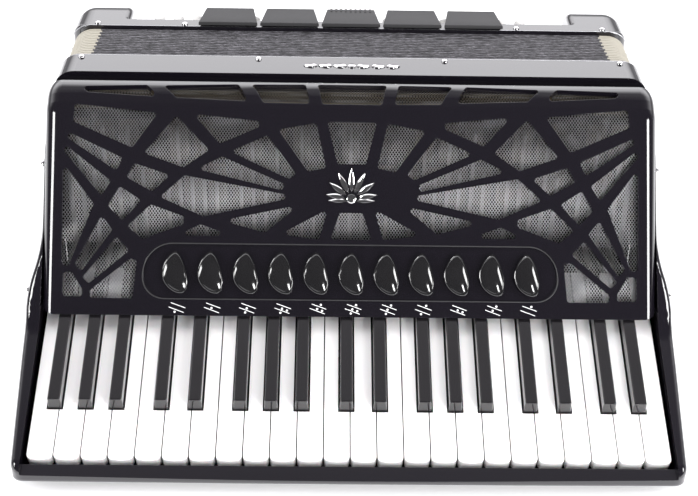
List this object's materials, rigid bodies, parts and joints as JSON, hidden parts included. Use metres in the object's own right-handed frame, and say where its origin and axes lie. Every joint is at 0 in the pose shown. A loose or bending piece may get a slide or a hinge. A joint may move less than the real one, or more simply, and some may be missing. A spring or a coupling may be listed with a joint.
{
  "type": "piano accordion",
  "caption": "Black piano accordion with treble keyboard, fretwork grille, register switches, closed bellows and bass button section.",
  "frame": {"origin": "middle of the rest plane under the instrument lying on its back", "axes": "+X along the keyboard from low to high notes, +Y from the keyboard to the bass end, +Z out of the front"},
  "size_m": [0.5066, 0.4438, 0.2268],
  "materials": {
    "white_key": "polished cream-white key plastic",
    "black_key": "satin black key plastic",
    "black_lacquer": "polished black celluloid over wood",
    "black_plastic": "polished black plastic",
    "grey_plastic": "satin dark grey plastic",
    "button_plastic": "pearl white plastic",
    "mesh_metal": "expanded metal mesh",
    "chrome": "polished",
    "steel": "drawn",
    "reed_wood": "oiled spruce and maple",
    "bellows_card": "cloth-edged card folds",
    "strap_leather": "soft black leather"
  },
  "bodies": {
    "treble": {"treble_case": "black_lacquer", "keyboard_frame": "black_lacquer", "key_axle": "steel", "key_springs": "steel", "treble_reed_blocks": "reed_wood", "treble_grille": "black_lacquer", "grille_mesh": "mesh_metal", "treble_hardware": "chrome"},
    "bass": {"bass_case": "black_lacquer", "bass_reed_blocks": "reed_wood", "bass_strap": "strap_leather", "bass_hardware": "chrome"},
    "bellows_1": {"bellows_section_1": "bellows_card"},
    "bellows_2": {"bellows_section_2": "bellows_card"},
    "treble_registers": {"treble_register_switches": "black_plastic"},
    "bass_registers": {"bass_register_switches": "grey_plastic"},
    "bass_button_set": {"bass_buttons": "button_plastic"},
    "air_button": {"air_button": "button_plastic"},
    "strap_wheel": {"strap_wheel": "chrome"},
    "key_01_f3": {"key_01_f3": "white_key"},
    "key_02_f_sharp3": {"key_02_f_sharp3": "black_key"},
    "key_03_g3": {"key_03_g3": "white_key"},
    "key_04_g_sharp3": {"key_04_g_sharp3": "black_key"},
    "key_05_a3": {"key_05_a3": "white_key"},
    "key_06_a_sharp3": {"key_06_a_sharp3": "black_key"},
    "key_07_b3": {"key_07_b3": "white_key"},
    "key_08_c4": {"key_08_c4": "white_key"},
    "key_09_c_sharp4": {"key_09_c_sharp4": "black_key"},
    "key_10_d4": {"key_10_d4": "white_key"},
    "key_11_d_sharp4": {"key_11_d_sharp4": "black_key"},
    "key_12_e4": {"key_12_e4": "white_key"},
    "key_13_f4": {"key_13_f4": "white_key"},
    "key_14_f_sharp4": {"key_14_f_sharp4": "black_key"},
    "key_15_g4": {"key_15_g4": "white_key"},
    "key_16_g_sharp4": {"key_16_g_sharp4": "black_key"},
    "key_17_a4": {"key_17_a4": "white_key"},
    "key_18_a_sharp4": {"key_18_a_sharp4": "black_key"},
    "key_19_b4": {"key_19_b4": "white_key"},
    "key_20_c5": {"key_20_c5": "white_key"},
    "key_21_c_sharp5": {"key_21_c_sharp5": "black_key"},
    "key_22_d5": {"key_22_d5": "white_key"},
    "key_23_d_sharp5": {"key_23_d_sharp5": "black_key"},
    "key_24_e5": {"key_24_e5": "white_key"},
    "key_25_f5": {"key_25_f5": "white_key"},
    "key_26_f_sharp5": {"key_26_f_sharp5": "black_key"},
    "key_27_g5": {"key_27_g5": "white_key"},
    "key_28_g_sharp5": {"key_28_g_sharp5": "black_key"},
    "key_29_a5": {"key_29_a5": "white_key"},
    "key_30_a_sharp5": {"key_30_a_sharp5": "black_key"},
    "key_31_b5": {"key_31_b5": "white_key"},
    "key_32_c6": {"key_32_c6": "white_key"},
    "key_33_c_sharp6": {"key_33_c_sharp6": "black_key"},
    "key_34_d6": {"key_34_d6": "white_key"},
    "key_35_d_sharp6": {"key_35_d_sharp6": "black_key"},
    "key_36_e6": {"key_36_e6": "white_key"},
    "key_37_f6": {"key_37_f6": "white_key"},
    "key_38_f_sharp6": {"key_38_f_sharp6": "black_key"},
    "key_39_g6": {"key_39_g6": "white_key"},
    "key_40_g_sharp6": {"key_40_g_sharp6": "black_key"},
    "key_41_a6": {"key_41_a6": "white_key"}
  },
  "joints": [
    {"name": "bellows_draw", "type": "slide", "parent": "treble", "child": "bass", "axis": [0, 1, 0], "range_m": [0, 0.42]},
    {"name": "bellows_follow_1", "type": "slide", "parent": "treble", "child": "bellows_1", "axis": [0, 1, 0], "range_m": [0, 0.141]},
    {"name": "bellows_follow_2", "type": "slide", "parent": "treble", "child": "bellows_2", "axis": [0, 1, 0], "range_m": [0, 0.281]},
    {"name": "treble_registers_press", "type": "slide", "parent": "treble", "child": "treble_registers", "axis": [0, 0.8175, -0.576], "range_m": [0, 0.002]},
    {"name": "bass_registers_press", "type": "slide", "parent": "bass", "child": "bass_registers", "axis": [0, 0, -1], "range_m": [0, 0.001]},
    {"name": "bass_buttons_press", "type": "slide", "parent": "bass", "child": "bass_button_set", "axis": [0, -0.788, -0.6157], "range_m": [0, 0.004]},
    {"name": "air_button_press", "type": "slide", "parent": "bass", "child": "air_button", "axis": [0, -1, 0], "range_m": [0, 0.004]},
    {"name": "strap_wheel_turn", "type": "hinge", "parent": "bass", "child": "strap_wheel", "pos_m": [0.221, 0.187, 0.049], "axis": [0, 1, 0], "continuous": true},
    {"name": "key_01_f3_press", "type": "hinge", "parent": "treble", "child": "key_01_f3", "pos_m": [0, -0.058, 0.078], "axis": [1, 0, 0], "range_deg": [0, 1.8], "stiffness_Nm_per_rad": 0.6},
    {"name": "key_02_f_sharp3_press", "type": "hinge", "parent": "treble", "child": "key_02_f_sharp3", "pos_m": [0, -0.058, 0.078], "axis": [1, 0, 0], "range_deg": [0, 1.8], "stiffness_Nm_per_rad": 0.6},
    {"name": "key_03_g3_press", "type": "hinge", "parent": "treble", "child": "key_03_g3", "pos_m": [0, -0.058, 0.078], "axis": [1, 0, 0], "range_deg": [0, 1.8], "stiffness_Nm_per_rad": 0.6},
    {"name": "key_04_g_sharp3_press", "type": "hinge", "parent": "treble", "child": "key_04_g_sharp3", "pos_m": [0, -0.058, 0.078], "axis": [1, 0, 0], "range_deg": [0, 1.8], "stiffness_Nm_per_rad": 0.6},
    {"name": "key_05_a3_press", "type": "hinge", "parent": "treble", "child": "key_05_a3", "pos_m": [0, -0.058, 0.078], "axis": [1, 0, 0], "range_deg": [0, 1.8], "stiffness_Nm_per_rad": 0.6},
    {"name": "key_06_a_sharp3_press", "type": "hinge", "parent": "treble", "child": "key_06_a_sharp3", "pos_m": [0, -0.058, 0.078], "axis": [1, 0, 0], "range_deg": [0, 1.8], "stiffness_Nm_per_rad": 0.6},
    {"name": "key_07_b3_press", "type": "hinge", "parent": "treble", "child": "key_07_b3", "pos_m": [0, -0.058, 0.078], "axis": [1, 0, 0], "range_deg": [0, 1.8], "stiffness_Nm_per_rad": 0.6},
    {"name": "key_08_c4_press", "type": "hinge", "parent": "treble", "child": "key_08_c4", "pos_m": [0, -0.058, 0.078], "axis": [1, 0, 0], "range_deg": [0, 1.8], "stiffness_Nm_per_rad": 0.6},
    {"name": "key_09_c_sharp4_press", "type": "hinge", "parent": "treble", "child": "key_09_c_sharp4", "pos_m": [0, -0.058, 0.078], "axis": [1, 0, 0], "range_deg": [0, 1.8], "stiffness_Nm_per_rad": 0.6},
    {"name": "key_10_d4_press", "type": "hinge", "parent": "treble", "child": "key_10_d4", "pos_m": [0, -0.058, 0.078], "axis": [1, 0, 0], "range_deg": [0, 1.8], "stiffness_Nm_per_rad": 0.6},
    {"name": "key_11_d_sharp4_press", "type": "hinge", "parent": "treble", "child": "key_11_d_sharp4", "pos_m": [0, -0.058, 0.078], "axis": [1, 0, 0], "range_deg": [0, 1.8], "stiffness_Nm_per_rad": 0.6},
    {"name": "key_12_e4_press", "type": "hinge", "parent": "treble", "child": "key_12_e4", "pos_m": [0, -0.058, 0.078], "axis": [1, 0, 0], "range_deg": [0, 1.8], "stiffness_Nm_per_rad": 0.6},
    {"name": "key_13_f4_press", "type": "hinge", "parent": "treble", "child": "key_13_f4", "pos_m": [0, -0.058, 0.078], "axis": [1, 0, 0], "range_deg": [0, 1.8], "stiffness_Nm_per_rad": 0.6},
    {"name": "key_14_f_sharp4_press", "type": "hinge", "parent": "treble", "child": "key_14_f_sharp4", "pos_m": [0, -0.058, 0.078], "axis": [1, 0, 0], "range_deg": [0, 1.8], "stiffness_Nm_per_rad": 0.6},
    {"name": "key_15_g4_press", "type": "hinge", "parent": "treble", "child": "key_15_g4", "pos_m": [0, -0.058, 0.078], "axis": [1, 0, 0], "range_deg": [0, 1.8], "stiffness_Nm_per_rad": 0.6},
    {"name": "key_16_g_sharp4_press", "type": "hinge", "parent": "treble", "child": "key_16_g_sharp4", "pos_m": [0, -0.058, 0.078], "axis": [1, 0, 0], "range_deg": [0, 1.8], "stiffness_Nm_per_rad": 0.6},
    {"name": "key_17_a4_press", "type": "hinge", "parent": "treble", "child": "key_17_a4", "pos_m": [0, -0.058, 0.078], "axis": [1, 0, 0], "range_deg": [0, 1.8], "stiffness_Nm_per_rad": 0.6},
    {"name": "key_18_a_sharp4_press", "type": "hinge", "parent": "treble", "child": "key_18_a_sharp4", "pos_m": [0, -0.058, 0.078], "axis": [1, 0, 0], "range_deg": [0, 1.8], "stiffness_Nm_per_rad": 0.6},
    {"name": "key_19_b4_press", "type": "hinge", "parent": "treble", "child": "key_19_b4", "pos_m": [0, -0.058, 0.078], "axis": [1, 0, 0], "range_deg": [0, 1.8], "stiffness_Nm_per_rad": 0.6},
    {"name": "key_20_c5_press", "type": "hinge", "parent": "treble", "child": "key_20_c5", "pos_m": [0, -0.058, 0.078], "axis": [1, 0, 0], "range_deg": [0, 1.8], "stiffness_Nm_per_rad": 0.6},
    {"name": "key_21_c_sharp5_press", "type": "hinge", "parent": "treble", "child": "key_21_c_sharp5", "pos_m": [0, -0.058, 0.078], "axis": [1, 0, 0], "range_deg": [0, 1.8], "stiffness_Nm_per_rad": 0.6},
    {"name": "key_22_d5_press", "type": "hinge", "parent": "treble", "child": "key_22_d5", "pos_m": [0, -0.058, 0.078], "axis": [1, 0, 0], "range_deg": [0, 1.8], "stiffness_Nm_per_rad": 0.6},
    {"name": "key_23_d_sharp5_press", "type": "hinge", "parent": "treble", "child": "key_23_d_sharp5", "pos_m": [0, -0.058, 0.078], "axis": [1, 0, 0], "range_deg": [0, 1.8], "stiffness_Nm_per_rad": 0.6},
    {"name": "key_24_e5_press", "type": "hinge", "parent": "treble", "child": "key_24_e5", "pos_m": [0, -0.058, 0.078], "axis": [1, 0, 0], "range_deg": [0, 1.8], "stiffness_Nm_per_rad": 0.6},
    {"name": "key_25_f5_press", "type": "hinge", "parent": "treble", "child": "key_25_f5", "pos_m": [0, -0.058, 0.078], "axis": [1, 0, 0], "range_deg": [0, 1.8], "stiffness_Nm_per_rad": 0.6},
    {"name": "key_26_f_sharp5_press", "type": "hinge", "parent": "treble", "child": "key_26_f_sharp5", "pos_m": [0, -0.058, 0.078], "axis": [1, 0, 0], "range_deg": [0, 1.8], "stiffness_Nm_per_rad": 0.6},
    {"name": "key_27_g5_press", "type": "hinge", "parent": "treble", "child": "key_27_g5", "pos_m": [0, -0.058, 0.078], "axis": [1, 0, 0], "range_deg": [0, 1.8], "stiffness_Nm_per_rad": 0.6},
    {"name": "key_28_g_sharp5_press", "type": "hinge", "parent": "treble", "child": "key_28_g_sharp5", "pos_m": [0, -0.058, 0.078], "axis": [1, 0, 0], "range_deg": [0, 1.8], "stiffness_Nm_per_rad": 0.6},
    {"name": "key_29_a5_press", "type": "hinge", "parent": "treble", "child": "key_29_a5", "pos_m": [0, -0.058, 0.078], "axis": [1, 0, 0], "range_deg": [0, 1.8], "stiffness_Nm_per_rad": 0.6},
    {"name": "key_30_a_sharp5_press", "type": "hinge", "parent": "treble", "child": "key_30_a_sharp5", "pos_m": [0, -0.058, 0.078], "axis": [1, 0, 0], "range_deg": [0, 1.8], "stiffness_Nm_per_rad": 0.6},
    {"name": "key_31_b5_press", "type": "hinge", "parent": "treble", "child": "key_31_b5", "pos_m": [0, -0.058, 0.078], "axis": [1, 0, 0], "range_deg": [0, 1.8], "stiffness_Nm_per_rad": 0.6},
    {"name": "key_32_c6_press", "type": "hinge", "parent": "treble", "child": "key_32_c6", "pos_m": [0, -0.058, 0.078], "axis": [1, 0, 0], "range_deg": [0, 1.8], "stiffness_Nm_per_rad": 0.6},
    {"name": "key_33_c_sharp6_press", "type": "hinge", "parent": "treble", "child": "key_33_c_sharp6", "pos_m": [0, -0.058, 0.078], "axis": [1, 0, 0], "range_deg": [0, 1.8], "stiffness_Nm_per_rad": 0.6},
    {"name": "key_34_d6_press", "type": "hinge", "parent": "treble", "child": "key_34_d6", "pos_m": [0, -0.058, 0.078], "axis": [1, 0, 0], "range_deg": [0, 1.8], "stiffness_Nm_per_rad": 0.6},
    {"name": "key_35_d_sharp6_press", "type": "hinge", "parent": "treble", "child": "key_35_d_sharp6", "pos_m": [0, -0.058, 0.078], "axis": [1, 0, 0], "range_deg": [0, 1.8], "stiffness_Nm_per_rad": 0.6},
    {"name": "key_36_e6_press", "type": "hinge", "parent": "treble", "child": "key_36_e6", "pos_m": [0, -0.058, 0.078], "axis": [1, 0, 0], "range_deg": [0, 1.8], "stiffness_Nm_per_rad": 0.6},
    {"name": "key_37_f6_press", "type": "hinge", "parent": "treble", "child": "key_37_f6", "pos_m": [0, -0.058, 0.078], "axis": [1, 0, 0], "range_deg": [0, 1.8], "stiffness_Nm_per_rad": 0.6},
    {"name": "key_38_f_sharp6_press", "type": "hinge", "parent": "treble", "child": "key_38_f_sharp6", "pos_m": [0, -0.058, 0.078], "axis": [1, 0, 0], "range_deg": [0, 1.8], "stiffness_Nm_per_rad": 0.6},
    {"name": "key_39_g6_press", "type": "hinge", "parent": "treble", "child": "key_39_g6", "pos_m": [0, -0.058, 0.078], "axis": [1, 0, 0], "range_deg": [0, 1.8], "stiffness_Nm_per_rad": 0.6},
    {"name": "key_40_g_sharp6_press", "type": "hinge", "parent": "treble", "child": "key_40_g_sharp6", "pos_m": [0, -0.058, 0.078], "axis": [1, 0, 0], "range_deg": [0, 1.8], "stiffness_Nm_per_rad": 0.6},
    {"name": "key_41_a6_press", "type": "hinge", "parent": "treble", "child": "key_41_a6", "pos_m": [0, -0.058, 0.078], "axis": [1, 0, 0], "range_deg": [0, 1.8], "stiffness_Nm_per_rad": 0.6}
  ],
  "couplings": [
    {"joint": "bellows_follow_1", "follows": "bellows_draw", "ratio": 0.33333},
    {"joint": "bellows_follow_2", "follows": "bellows_draw", "ratio": 0.66667}
  ]
}
